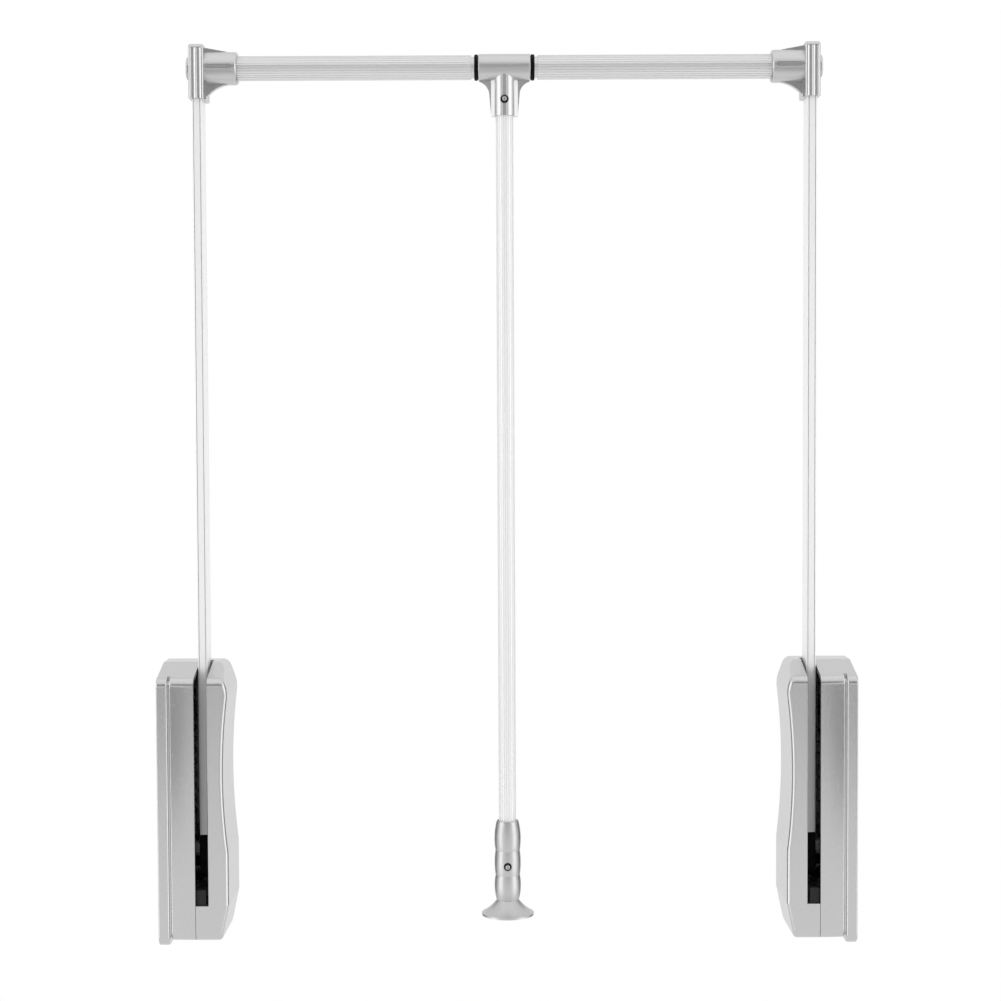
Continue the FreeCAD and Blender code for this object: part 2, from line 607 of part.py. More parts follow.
def helix_arcs(radius, height, turns):
    """A helix about Z as pairs of tangent arcs, two pairs to a turn."""
    rise = height / (turns * 2 * math.pi)
    steps = 2 * turns
    edges = []

    def place(angle):
        return FreeCAD.Vector(radius * math.cos(angle), radius * math.sin(angle), rise * angle)

    def heading(angle):
        line = FreeCAD.Vector(-radius * math.sin(angle), radius * math.cos(angle), rise)
        return line.normalize()

    def arc(start, end, tangent):
        chord = end - start
        side = chord.cross(tangent).cross(chord).normalize()
        half_angle = tangent.getAngle(chord)
        bulge = chord.Length / 2 * math.tan(half_angle / 2)
        return Part.Arc(start, start + chord / 2 + side * bulge, end).toShape()

    for step in range(steps):
        first = 2 * math.pi * turns * step / steps
        last = 2 * math.pi * turns * (step + 1) / steps
        start, end = place(first), place(last)
        leave, arrive = heading(first), heading(last)
        span = end - start
        both = leave + arrive
        square = both.dot(both) - 4
        mixed = -2 * span.dot(both)
        flat = span.dot(span)
        reach = (-mixed - math.sqrt(mixed * mixed - 4 * square * flat)) / (2 * square)
        middle = (start + leave * reach + end - arrive * reach) / 2
        joint_heading = (end - arrive * reach - start - leave * reach).normalize()
        edges.append(arc(start, middle, leave))
        edges.append(arc(middle, end, joint_heading))
    return edges


def lift_spring():
    """Compression spring between the carriage and its upper seat, one unbroken wire."""
    wire = size("spring_wire")
    radius = (size("spring_dia") - wire) / 2
    low = size(CARRIAGE_TOP) + size("fit_gap")
    high = size(f"{CEILING} - seat_height") - size("fit_gap")
    height = high - low - wire
    path = Part.Wire(helix_arcs(radius, height, spring_turns))
    slope = math.atan2(height, 2 * math.pi * radius * spring_turns)
    start_axis = FreeCAD.Vector(0, math.cos(slope), math.sin(slope))
    ring = Part.Wire(Part.Circle(FreeCAD.Vector(radius, 0, 0), start_axis, wire / 2).toShape())
    coil = path.makePipeShell([ring], True, False)
    pitch_gap = height / spring_turns * math.cos(slope) - wire
    print(f"lift spring: {spring_turns} turns, least gap between turns {pitch_gap:.2f} mm")
    thing = doc.addObject("Part::Feature", "lift_spring")
    thing.Shape = coil
    thing.Placement = FreeCAD.Placement(
        FreeCAD.Vector(size(CARRIAGE_X), size("spring_place"), low + wire / 2), FreeCAD.Rotation())
    return thing


def damper_cylinder():
    foot = f"{CEILING} - damper_length"
    tube = rod("damper_tube", Z_AXIS, CARRIAGE_X, "damper_place", foot, "damper_dia", "damper_length")
    bore = rod("damper_hollow", Z_AXIS, CARRIAGE_X, "damper_place", f"{foot} + damper_end", "damper_bore",
               "damper_length - 2 * damper_end")
    gland = rod("damper_gland", Z_AXIS, CARRIAGE_X, "damper_place", f"{foot} - overrun",
                "damper_rod_dia + 2 * fit_gap", "damper_end + 2 * overrun")
    return cut("damper_cylinder", tube, bore, gland)


def damper_rod():
    stem = rod("damper_stem", Z_AXIS, CARRIAGE_X, "damper_place", CARRIAGE_TOP, "damper_rod_dia",
               f"{PISTON_TOP} - {CARRIAGE_TOP}")
    piston = rod("damper_piston", Z_AXIS, CARRIAGE_X, "damper_place", f"{PISTON_TOP} - piston_length",
                 "damper_bore - 2 * fit_gap", "piston_length")
    return fuse("damper_rod", stem, piston)


def rest_bumper():
    return block("rest_bumper", f"{ARM_X} - arm_width / 2", "arm_depth / 2 + bumper_gap",
                 "bumper_level - bumper_height / 2", "arm_width", "bumper_thick", "bumper_height")


def end_bumper():
    return block("end_bumper", f"{ARM_X} - arm_width / 2", "-unit_depth / 2 + end_bumper_inset",
                 "slot_bottom", "arm_width", "end_bumper_depth", "end_bumper_height")


def case_screws():
    thing = doc.addObject("Part::Compound", "case_screws")
    thing.Links = case_screw_shapes("case_screws")
    return thing


def clamp_screw_shape(owner):
    head = rod(owner + "_clamp_head", Y_AXIS, ARM_X, "corner_depth / 2", CLAMP_SCREW_Z,
               "clamp_screw_head", "clamp_screw_head_height")
    shank = rod(owner + "_clamp_shank", Y_AXIS, ARM_X, "arm_depth / 2 - 2 * arm_wall", CLAMP_SCREW_Z,
                "clamp_screw_dia", "corner_depth / 2 - arm_depth / 2 + 2 * arm_wall")
    return fuse(owner + "_clamp_screw", head, shank)


def corner_joint():
    low = f"{ARM_X} - corner_width / 2"
    post = block("corner_post", low, "-corner_depth / 2", CORNER_FOOT, "corner_width", "corner_depth",
                 "corner_rise + corner_drop")
    post = rounded("corner_post_browed", post, "corner_brow",
                   lambda edge: along(edge, X_AXIS) and edge.BoundBox.ZMin > size("rail_height"))
    post = rounded("corner_post_eased", post, "corner_bevel", lambda edge: along(edge, Z_AXIS))
    shoulder = block("corner_shoulder", f"{CORNER_FACE} - corner_bevel",
                     "-corner_depth / 2 + corner_shoulder_set", CORNER_FOOT,
                     "corner_bevel + corner_shoulder", "corner_depth - corner_shoulder_set - corner_bevel",
                     "corner_drop - socket_dia / 2 + corner_bevel")
    mouth = f"({CORNER_FACE} + socket_length)"
    socket = rod("corner_socket", X_AXIS, ARM_X, "0", "rail_height", "socket_dia",
                 "corner_width / 2 + socket_length")
    socket = rounded("corner_socket_eased", socket, "socket_round", lambda edge: across(edge, mouth))
    upper_web = pad("corner_upper_web", "XZ_Plane", [
        (f"{CORNER_FACE} - corner_bevel", "rail_height"),
        (f"{CORNER_FACE} + socket_length * 3 / 4", "rail_height"),
        (f"{CORNER_FACE} + socket_length * 3 / 4", "rail_height + socket_dia / 2 - gusset_sink"),
        (f"{CORNER_FACE} - corner_bevel", "rail_height + socket_dia / 2 + gusset_rise"),
    ], "gusset_thick")
    web_foot = "(rail_height - socket_dia / 2 - gusset_drop)"
    sweep = "((gusset_reach^2 + gusset_drop^2) / (2 * gusset_drop))"
    web_block = block("corner_web_block", f"{CORNER_FACE} - corner_bevel", "-gusset_thick / 2", web_foot,
                      "corner_bevel + gusset_reach", "gusset_thick", f"rail_height - {web_foot}")
    web_sweep = rod("corner_web_sweep", Y_AXIS, f"{CORNER_FACE} + gusset_reach", "-gusset_thick",
                    f"rail_height - socket_dia / 2 + gusset_sink - {sweep}", f"2 * {sweep}",
                    "2 * gusset_thick")
    lower_web = cut("corner_lower_web", web_block, web_sweep)
    pocket = block("corner_pocket", f"{ARM_X} - arm_width / 2", "-arm_depth / 2",
                   f"{CORNER_FOOT} - overrun", "arm_width", "arm_depth", "arm_entry + overrun")
    bore = rod("corner_bore", X_AXIS, f"{mouth} - rail_entry", "0", "rail_height", "rail_dia",
               "rail_entry + overrun")
    cutters = [pocket, bore, clamp_screw_shape("corner")]
    strip_end = f"({mouth} - 2 * socket_round)"
    hollow = "((corner_channel^2 / 4 + corner_channel_depth^2) / corner_channel_depth)"
    for side in (-1, 1):
        face = f"{side} * socket_dia / 2 - socket_line_depth"
        for edge in (-1, 1):
            tag = f"{side + 1}_{edge + 1}"
            cutters.append(block(
                f"corner_strip_line_{tag}", f"{CORNER_FACE} + corner_bevel", face,
                f"rail_height + {edge} * socket_strip / 2 - socket_line / 2",
                f"{strip_end} - {CORNER_FACE} - corner_bevel", "2 * socket_line_depth", "socket_line",
            ))
            cutters.append(block(
                f"corner_strip_end_{tag}",
                f"{strip_end} - socket_strip / 2 + {edge} * socket_strip / 2 - socket_line", face,
                "rail_height - socket_strip / 2", "socket_line", "2 * socket_line_depth", "socket_strip",
            ))
        cutters.append(rod(
            f"corner_channel_{side + 1}", Z_AXIS, f"{ARM_X} + {side} * corner_channel_pitch / 2",
            f"-corner_depth / 2 + corner_channel_depth - {hollow} / 2", f"{CORNER_FOOT} - overrun", hollow,
            "corner_rise + corner_drop + overrun - corner_brow",
        ))
    return cut("corner_joint", fuse("corner_form", post, shoulder, socket, upper_web, lower_web), *cutters)


def corner_cap():
    outside = f"{ARM_X} - corner_width / 2 - cap_thick"
    disc = rod("cap_disc", X_AXIS, outside, "0", "rail_height", "cap_dia", "cap_thick")
    return rounded("corner_cap", disc, "cap_round", lambda edge: abs(edge.BoundBox.XMax - size(outside)) < 1e-6)


def tube(name, low_x, dia, wall, length):
    skin = rod(name + "_skin", X_AXIS, low_x, "0", "rail_height", dia, length)
    bore = rod(name + "_bore", X_AXIS, f"{low_x} - overrun", "0", "rail_height", f"{dia} - 2 * {wall}",
               f"{length} + 2 * overrun")
    return cut(name, skin, bore)


def rail_tube():
    low = f"({CORNER_FACE} + socket_length - rail_entry)"
    return tube("rail_tube", low, "rail_dia", "rail_wall", f"(-{RAIL_END} - {low})")


def collar_ring():
    low = f"(-{RING_FACE} - ring_width)"
    skin = rod("ring_skin", X_AXIS, low, "0", "rail_height", "ring_dia", "ring_width")
    skin = rounded("ring_eased", skin, "ring_round", lambda edge: edge.Closed)
    bore = rod("ring_bore", X_AXIS, f"{low} - overrun", "0", "rail_height", INNER_TUBE_DIA,
               "ring_width + 2 * overrun")
    return cut("collar_ring", skin, bore)


def small_screw_shape(name, front, height):
    """A pan screw whose head seats in the front of a round piece and whose shank points back."""
    head = rod(name + "_head", Y_AXIS, "0", f"{front} - small_screw_head_height / 2", height,
               "small_screw_head", "small_screw_head_height")
    shank = rod(name + "_shank", Y_AXIS, "0", front, height, "small_screw_dia",
                "small_screw_head_height / 2 + small_screw_reach")
    return fuse(name, head, shank)


def small_screw_recess(name, front, height):
    """The sunk ring round a pan screw's head."""
    return rod(name, Y_AXIS, "0", f"{front} - overrun", height, "small_screw_head + 2 * small_screw_ring",
               "overrun + small_screw_head_height / 2")


def tee():
    half = "tee_length / 2"
    body = rod("tee_body", X_AXIS, f"-{half}", "0", "rail_height", "tee_dia", "tee_length")
    body = rounded("tee_body_eased", body, "tee_round", lambda edge: edge.Closed)
    sleeve = rod("tee_sleeve", Z_AXIS, "0", "0", SLEEVE_FOOT, "sleeve_dia", "sleeve_drop")
    shoulder = "(rail_height - fin_waist_drop)"
    right = [
        ("fin_foot_width / 2", SLEEVE_FOOT),
        ("fin_waist_width / 2", shoulder),
        (f"{half} - tee_round", shoulder),
        (f"{half} - tee_round", "rail_height"),
    ]
    left = [(f"-({aside})", up) for aside, up in reversed(right)]
    sweeps = []
    for side in (-1, 1):
        sweeps.append(rod(
            f"tee_sweep_{side + 1}", Y_AXIS, f"{side} * (fin_waist_width / 2 + fin_sweep)", "-sleeve_dia",
            shoulder, "2 * fin_sweep", "2 * sleeve_dia",
        ))
    fins = cut("tee_fins", pad("tee_fin_plate", "XZ_Plane", right + left, "sleeve_dia"), *sweeps)
    web = block("tee_web", f"-{half}", "-fin_thick / 2", SLEEVE_FOOT, "tee_length", "fin_thick", "sleeve_drop")
    slopes = pad("tee_slopes", "XY_Plane", [
        ("-fin_slope_width / 2", "0"),
        ("0", "-fin_slope_depth / 2"),
        ("fin_slope_width / 2", "0"),
        ("0", "fin_slope_depth / 2"),
    ], "2 * sleeve_drop", at_z="rail_height - sleeve_drop / 2")
    fins = common("tee_fin_form", fins, fuse("tee_fin_section", web, slopes))
    bore = rod("tee_bore", X_AXIS, f"-{half} - overrun", "0", "rail_height",
               f"{INNER_TUBE_DIA} + 2 * rail_gap", "tee_length + 2 * overrun")
    socket = rod("tee_socket", Z_AXIS, "0", "0", f"{SLEEVE_FOOT} - overrun", "pull_rod_dia",
                 "sleeve_drop - pull_rod_sink + overrun")
    screw = small_screw_shape("tee_screw_seat", SLEEVE_FRONT, TEE_SCREW_Z)
    ring = small_screw_recess("tee_screw_ring", SLEEVE_FRONT, TEE_SCREW_Z)
    return cut("tee", fuse("tee_form", body, sleeve, fins), bore, socket, screw, ring)


def pull_rod():
    foot = "(grip_foot + grip_length - grip_socket)"
    length = f"({PULL_ROD_TOP} - {foot})"
    skin = rod("rod_skin", Z_AXIS, "0", "0", foot, "pull_rod_dia", length)
    bore = rod("rod_bore", Z_AXIS, "0", "0", f"{foot} - overrun", "pull_rod_dia - 2 * pull_rod_wall",
               f"{length} + 2 * overrun")
    return cut("pull_rod", skin, bore, small_screw_shape("rod_tee_screw", SLEEVE_FRONT, TEE_SCREW_Z),
               small_screw_shape("rod_grip_screw", "(-grip_bulge_dia / 2)", "grip_screw_height"))


def grip():
    """Turned grip: three soft bulges over a flared flange."""
    foot, length = size("grip_foot"), size("grip_length")
    top = foot + length

    def spot(dia, height):
        return FreeCAD.Vector(size(dia) / 2, 0, height)
    rim = spot("grip_rim_dia", top)
    bulges = [spot("grip_bulge_dia", foot + length * share) for share in grip_bulge_shares]
    waists = [spot("grip_waist_dia", foot + length * share) for share in grip_waist_shares]
    neck = spot("grip_neck_dia", foot + size("grip_flange_thick + grip_cone_height"))
    edge_top = spot("grip_flange_dia", foot + size("grip_flange_thick"))
    edge_foot = spot("grip_flange_dia", foot)
    out_share, down_share = grip_flare_shares
    cone_middle = FreeCAD.Vector(
        neck.x + (edge_top.x - neck.x) * out_share, 0, neck.z + (edge_top.z - neck.z) * down_share)
    stops = [rim, *waists, neck]
    edges = [Part.Arc(stops[n], bulges[n], stops[n + 1]).toShape() for n in range(len(bulges))]
    edges += [
        Part.Arc(neck, cone_middle, edge_top).toShape(),
        Part.LineSegment(edge_top, edge_foot).toShape(),
        Part.LineSegment(edge_foot, FreeCAD.Vector(0, 0, foot)).toShape(),
        Part.LineSegment(FreeCAD.Vector(0, 0, foot), FreeCAD.Vector(0, 0, top)).toShape(),
        Part.LineSegment(FreeCAD.Vector(0, 0, top), rim).toShape(),
    ]
    turned = doc.addObject("Part::Feature", "grip_turned")
    turned.Shape = Part.Face(Part.Wire(edges)).revolve(FreeCAD.Vector(), Z_AXIS, 360)
    socket = rod("grip_bore", Z_AXIS, "0", "0", "grip_foot + grip_length - grip_socket", "pull_rod_dia",
                 "grip_socket + overrun")
    mouth = bind(
        doc.addObject("Part::Cone", "grip_mouth"), at_z="grip_foot + grip_length - grip_mouth_depth",
        Radius1="pull_rod_dia / 2", Radius2="pull_rod_dia / 2 + grip_mouth_gap", Height="grip_mouth_depth",
    )
    front = "(-grip_bulge_dia / 2)"
    ring = small_screw_recess("grip_screw_ring", front, "grip_screw_height")
    return cut("grip", turned, socket, mouth, ring,
               small_screw_shape("grip_screw_seat", front, "grip_screw_height"))


# Pieces that come in a left and a mirrored right version
SIDE_PIECES = {
    "wall_plate": wall_plate,
    "outer_casing": outer_casing,
    "inner_casing": inner_casing,
    "pivot_axle": pivot_axle,
    "pivot_bushes": pivot_bushes,
    "arm_hub": arm_hub,
    "crank_pin": crank_pin,
    "arm_rivets": arm_rivets,
    "arm": arm,
    "spring_carriage": spring_carriage,
    "spring_guide": spring_guide,
    "spring_seat": spring_seat,
    "lift_spring": lift_spring,
    "damper_cylinder": damper_cylinder,
    "damper_rod": damper_rod,
    "rest_bumper": rest_bumper,
    "end_bumper": end_bumper,
    "case_screws": case_screws,
    "corner_joint": corner_joint,
    "corner_cap": corner_cap,
    "corner_screw": lambda: clamp_screw_shape("corner_piece"),
    "rail_tube": rail_tube,
    "collar_ring": collar_ring,
}
for name, make in SIDE_PIECES.items():
    left = piece("left_" + name, make())
    right = doc.addObject("Part::Mirroring", "right_" + name)
    right.Source = left
    right.Normal = X_AXIS
    piece("right_" + name, right)

# Pieces in the middle
piece("inner_tube", tube("inner_tube", "(-inner_tube_length / 2)", INNER_TUBE_DIA, "rail_wall",
                         "inner_tube_length"))
piece("tee", tee())
piece("tee_screw", small_screw_shape("tee_screw", SLEEVE_FRONT, TEE_SCREW_Z))
piece("pull_rod", pull_rod())
piece("grip", grip())
piece("grip_screw", small_screw_shape("grip_screw", "(-grip_bulge_dia / 2)", "grip_screw_height"))

doc.recompute()
for thing in doc.Objects:
    if {"Invalid", "Error"} & set(thing.State):
        raise RuntimeError(f"{thing.Name} failed: {thing.State}")
for label, thing in PIECES.items():
    if thing.Shape.isNull() or not thing.Shape.isValid():
        raise RuntimeError(f"{label} has no valid shape")

os.makedirs("parts", exist_ok=True)
for label, thing in PIECES.items():
    thing.Shape.exportStep(f"parts/{label}.step")
print(f"{len(PIECES)} pieces")
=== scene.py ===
"""Pull down closet rod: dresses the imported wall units, arms, rail and pull rod for a studio picture.

Metres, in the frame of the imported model: X along the rail, Y into the closet, Z up.
"""

import math

import bpy
from bpy.props import FloatProperty, FloatVectorProperty, IntProperty, PointerProperty
from mathutils import Matrix, Vector


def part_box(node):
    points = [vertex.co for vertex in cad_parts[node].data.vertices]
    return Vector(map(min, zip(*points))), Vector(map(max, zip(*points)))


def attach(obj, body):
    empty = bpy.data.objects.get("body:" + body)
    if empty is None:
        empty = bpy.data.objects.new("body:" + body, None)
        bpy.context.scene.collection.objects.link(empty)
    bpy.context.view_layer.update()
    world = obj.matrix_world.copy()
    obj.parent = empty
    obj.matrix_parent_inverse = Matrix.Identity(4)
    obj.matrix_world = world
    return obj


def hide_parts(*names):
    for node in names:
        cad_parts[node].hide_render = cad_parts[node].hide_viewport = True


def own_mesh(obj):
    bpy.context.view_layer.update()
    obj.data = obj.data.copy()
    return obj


bl_info = {
    "name": "Pull Down Closet Rod",
    "version": (1, 0, 0),
    "blender": (4, 5, 0),
    "location": "View3D > Sidebar > Closet Rod",
    "description": "Models and finishes a pull down closet rod around its packed parts",
    "category": "Object",
}

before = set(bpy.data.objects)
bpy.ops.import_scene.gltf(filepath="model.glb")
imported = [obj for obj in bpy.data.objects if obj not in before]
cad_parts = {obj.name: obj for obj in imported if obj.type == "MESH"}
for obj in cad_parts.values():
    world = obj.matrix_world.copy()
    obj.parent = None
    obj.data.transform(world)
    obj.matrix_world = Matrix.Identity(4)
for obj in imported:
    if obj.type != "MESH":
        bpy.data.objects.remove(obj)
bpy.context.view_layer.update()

MM = 0.001
SIDES = ("left", "right")

# Steps that round shapes are drawn with, and how squarely a face has to look along an axis to count
ROUND_STEPS = 48
WIRE_STEPS = 12
COIL_STEPS = 28
EASE_STEPS = 4
FLUTE_STEPS = 8
GROOVE_STEPS = (5, 6)
FLUTE_ANGLE = 20
FACING_SHARE = 0.9

# Points nearer than this are merged, and a groove's cutter is this many times as long as its bar
MERGE_REACH = 0.005 * MM
OVERRUN_SHARE = 1.1

# Screws: the head's height and shank as shares of its radius, its wall and recess of its height. A row of
# the dome has a width, as a share of the row below, and a rise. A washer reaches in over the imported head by
# a share of its ring, and its bore is a little wider than the head
HEAD_HEIGHT_SHARE = 0.6
HEAD_WALL_SHARE = 0.35
DOME_SHARES = ((0.92, 0.3), (0.8, 0.22), (0.6, 0.13))
SHANK_SHARE = 0.53
RECESS_REACH_SHARE = 1.15
RECESS_HEIGHT_SHARE = 2.6
RECESS_TAPER_SHARE = 0.75
WASHER_COVER_SHARE = 0.75
WASHER_BORE_SHARE = 1.01

# Painted shade: a dark line painted where the casing halves meet, standing for the shade in the joint
SEAM_HALF = 0.25 * MM
SEAM_SHARE = 0.2

# The surround's even light, and the floor's own glow from near the object to far off
SURROUND_SHARE = 0.72
WHITE_SHARE = 1.0
FLOOR_GLOW_SHARE = 0.91
FLOOR_NEAR = 0.45
FLOOR_FAR = 1.1

# Cards that only reflections see: name, half width and height, place, turn in degrees, shade
CARDS = (
    ("left_rear_flag", (0.8, 1.15), (-2.05, 1.6, 0.15), (90, 0, -128), "#161616"),
    ("right_rear_flag", (0.8, 1.15), (2.05, 1.6, 0.15), (90, 0, 128), "#161616"),
    ("front_card", (0.5, 1.2), (0, -3.2, 1.2), (90, 0, 0), "#D0D0D0"),
    ("left_front_card", (0.7, 0.6), (-1.2, -3.2, 1.5), (90, 0, 0), "#3A3A3A"),
    ("right_front_card", (0.7, 0.6), (1.2, -3.2, 1.5), (90, 0, 0), "#3A3A3A"),
    ("floor_card", (0.22, 1.25), (0, -1.9, 0), (0, 0, 0), "#E2E2E2"),
    ("left_floor_card", (0.5, 1.25), (-1.06, -1.9, 0), (0, 0, 0), "#464646"),
    ("right_floor_card", (0.5, 1.25), (1.06, -1.9, 0), (0, 0, 0), "#464646"),
)

# Lamps: name, place, width and height, watts. They all aim at one point
LAMPS = (
    ("left_softbox", (-2.1, -1.05, 0.45), (1.5, 3.0), 16),
    ("right_softbox", (2.1, -1.05, 0.45), (1.5, 3.0), 16),
    ("top_softbox", (0, -0.6, 3.2), (4.0, 3.0), 7),
)
LAMP_AIM = (0, 0, 0.45)

# The camera: place, tilt and roll in degrees, focal length and sensor in millimetres, farthest view
CAMERA_PLACE = (-0.0054, -1.8433, 0.4966)
CAMERA_TILT = 87.588
CAMERA_ROLL = -0.252
CAMERA_LENS = 69.46
CAMERA_SENSOR = 36
CAMERA_FAR = 100


def linear(hex_code, alpha=1.0):
    """An sRGB hex colour as linear red, green, blue and alpha."""
    parts = [int(hex_code[place:place + 2], 16) / 255 for place in (1, 3, 5)]
    return [c / 12.92 if c <= 0.04045 else ((c + 0.055) / 1.055) ** 2.4 for c in parts] + [alpha]


def length_prop(title, words, default):
    return FloatProperty(name=title, description=words, default=default, unit="LENGTH", subtype="DISTANCE",
                         min=0, precision=5)


def count_prop(title, words, default, least):
    return IntProperty(name=title, description=words, default=default, min=least)


def colour_prop(title, words, hex_code):
    return FloatVectorProperty(name=title, description=words, default=linear(hex_code), size=4,
                               subtype="COLOR", min=0, max=1)


class RodSizes(bpy.types.PropertyGroup):
    """Sizes of the pieces that are modelled here"""

    rail_flutes: count_prop("Rail flutes", "Fine flutes round each rail tube", 30, 8)
    pull_flutes: count_prop("Pull rod flutes", "Fine flutes round the pull rod", 24, 8)
    flute_depth: length_prop("Flute depth", "Depth of the fine flutes", 0.6 * MM)
    arm_ease: length_prop("Arm edges", "Rounding of the arms' edges", 1.0 * MM)
    arm_groove: length_prop("Arm grooves", "Width of the grooves beside those edges", 0.8 * MM)
    arm_groove_depth: length_prop("Arm groove depth", "Depth of those grooves", 1.8 * MM)
    rail_wall: length_prop("Rail wall", "Wall of the rail tubes", 1.2 * MM)
    pull_wall: length_prop("Pull rod wall", "Wall of the pull rod", 1.4 * MM)
    screw_recess: length_prop("Cross recess", "Width of one slot of a screw's cross recess", 1.1 * MM)
    washer_ring: length_prop("Washer ring", "Width of the black washers round the front screws", 1.4 * MM)
    washer_thick: length_prop("Washer thickness", "Thickness of those washers", 0.9 * MM)
    spring_wire: length_prop("Spring wire", "Wire of the lift springs", 2.4 * MM)
    spring_turns: count_prop("Spring turns", "Turns of each lift spring", 15, 4)
    floor_reach: length_prop("Floor reach", "Half the width of the studio floor", 14.0)
    floor_drop: length_prop("Floor drop", "That floor's depth below the units, clear of the rail", 0.36)


class RodFinishes(bpy.types.PropertyGroup):
    """Colours of the finishes"""

    casing: colour_prop("Casing", "Silver grey moulded casings and wall plates", "#C4C4C4")
    joint: colour_prop("Joints", "Silver lacquered corner joints and tee", "#C6C6C6")
    grip: colour_prop("Grip", "Satin silver lacquered grip", "#C0C0C0")
    arm: colour_prop("Arms", "Clear anodised arms and pull rod", "#F6F6F6")
    rail: colour_prop("Rail", "Clear anodised rail tubes", "#E0E0E0")
    nylon: colour_prop("Hubs and rings", "Black moulded nylon", "#070707")
    steel: colour_prop("Screws and pins", "Zinc plated steel", "#B7B9BC")
    spring: colour_prop("Springs", "Oiled spring wire", "#6D6E71")
    rubber: colour_prop("Bumpers", "Black moulded rubber", "#121212")
    backdrop: colour_prop("Backdrop", "White studio floor and surround", "#FFFFFF")


# Materials


def add_node(tree, kind, inputs=None, **settings):
    """Add a node, set its settings, then set or link its inputs."""
    node = tree.nodes.new(kind)
    for key, value in settings.items():
        setattr(node, key, value)
    for socket, value in (inputs or {}).items():
        if isinstance(value, bpy.types.NodeSocket):
            tree.links.new(value, node.inputs[socket])
        else:
            node.inputs[socket].default_value = value
    return node


def new_finish(name):
    """An empty node material, or the one that is already there."""
    material = bpy.data.materials.get(name)
    if material:
        return material, None
    material = bpy.data.materials.new(name)
    material.use_nodes = True
    material.node_tree.nodes.clear()
    return material, material.node_tree


def shaded(tree, pattern, low, high, colour, spread, bump, depth, line=None, **constants):
    """A principled surface whose colour, roughness and relief follow one pattern, with shade painted darker
    along a line.
    """
    darker = [channel * (1 - spread) for channel in colour[:3]] + [1]
    lighter = [min(1, channel * (1 + spread)) for channel in colour[:3]] + [1]
    # Painted shade: the colour of the seam line, darkened to stand for the shade in the joint
    painted_shade = [channel * SEAM_SHARE for channel in colour[:3]] + [1]
    tint = add_node(tree, "ShaderNodeMix", {0: pattern, 6: darker, 7: lighter}, data_type="RGBA")
    if line:
        tint = add_node(tree, "ShaderNodeMix", {0: line, 6: tint.outputs[2], 7: painted_shade}, data_type="RGBA")
    rough = add_node(tree, "ShaderNodeMapRange", {"Value": pattern, "To Min": low, "To Max": high})
    relief = add_node(tree, "ShaderNodeBump", {"Height": pattern, "Strength": bump, "Distance": depth})
    surface = add_node(tree, "ShaderNodeBsdfPrincipled", {
        "Base Color": tint.outputs[2], "Roughness": rough.outputs[0], "Normal": relief.outputs[0],
        **constants})
    add_node(tree, "ShaderNodeOutputMaterial", {"Surface": surface.outputs[0]})


def grain(tree, size_mm, stretch=(1, 1, 1), detail=3.0):
    """Noise with features of about the given size, drawn out along an axis by its stretch."""
    place = add_node(tree, "ShaderNodeTexCoord")
    scale = [1 / (size_mm * MM * amount) for amount in stretch]
    mapped = add_node(tree, "ShaderNodeMapping", {"Vector": place.outputs["Object"], "Scale": scale})
    noise = add_node(tree, "ShaderNodeTexNoise", {"Vector": mapped.outputs[0], "Scale": 1, "Detail": detail})
    return noise.outputs[0]


def casing_finish():
    # ABS, injection moulded with silver pigment against a finely eroded mould: an even satin grey whose
    # fine grain breaks up the highlights. The grain is drawn at 0.8 mm so that it shows. A fine line of
    # painted shade marks where the two halves meet, standing for the shade in the joint between them.
    material, tree = new_finish("silver_moulded_abs")
    if tree:
        colour = bpy.context.scene.rod_finishes.casing
        place = add_node(tree, "ShaderNodeSeparateXYZ", {
            0: add_node(tree, "ShaderNodeTexCoord").outputs["Object"]})
        aside = add_node(tree, "ShaderNodeMath", {0: place.outputs["X"]}, operation="ABSOLUTE")
        # Painted shade: one beside the joint of the two halves, where the line of painted shade falls
        seam = add_node(tree, "ShaderNodeMath", {
            0: aside.outputs[0], 1: abs(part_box("left_inner_casing")[0].x), 2: SEAM_HALF},
            operation="COMPARE")
        shaded(tree, grain(tree, 0.8), low=0.24, high=0.29, colour=colour, spread=0.012, bump=0.003,
               depth=0.1 * MM, line=seam.outputs[0], Metallic=0.9)
    return material


def lacquer_finish(name, colour, low, high):
    # ABS, moulded and sprayed with silver lacquer: smooth, with a faint orange peel and clear highlights.
    material, tree = new_finish(name)
    if tree:
        shaded(tree, grain(tree, 2.5, detail=1.0), low, high, colour, spread=0.015, bump=0.01,
               depth=0.1 * MM, Metallic=0.92)
    return material


def drawn_finish(name, colour, stretch, metallic):
    # Aluminium, extruded and clear anodised: pale satin metal with hair lines along its length. The lines
    # are drawn 0.5 mm apart so that they show.
    material, tree = new_finish(name)
    if tree:
        shaded(tree, grain(tree, 0.5, stretch), low=0.26, high=0.34, colour=colour, spread=0.02, bump=0.03,
               depth=0.05 * MM, Metallic=metallic)
    return material


def nylon_finish():
    # Black glass filled nylon, injection moulded: nearly black, with a dull mottled sheen.
    material, tree = new_finish("black_moulded_nylon")
    if tree:
        colour = bpy.context.scene.rod_finishes.nylon
        shaded(tree, grain(tree, 1.2), low=0.5, high=0.62, colour=colour, spread=0.25, bump=0.1,
               depth=0.1 * MM, **{"Specular IOR Level": 0.1})
    return material


def steel_finish():
    # Turned steel, zinc plated and clear passivated: bright grey with a slight cloudiness.
    material, tree = new_finish("zinc_plated_steel")
    if tree:
        colour = bpy.context.scene.rod_finishes.steel
        shaded(tree, grain(tree, 1.5), low=0.2, high=0.36, colour=colour, spread=0.08, bump=0.08,
               depth=0.05 * MM, Metallic=1.0)
    return material


def spring_finish():
    # Cold drawn spring wire, oiled: dark grey metal with draw marks.
    material, tree = new_finish("oiled_spring_wire")
    if tree:
        colour = bpy.context.scene.rod_finishes.spring
        shaded(tree, grain(tree, 0.8), low=0.25, high=0.4, colour=colour, spread=0.1, bump=0.1,
               depth=0.05 * MM, Metallic=1.0)
    return material


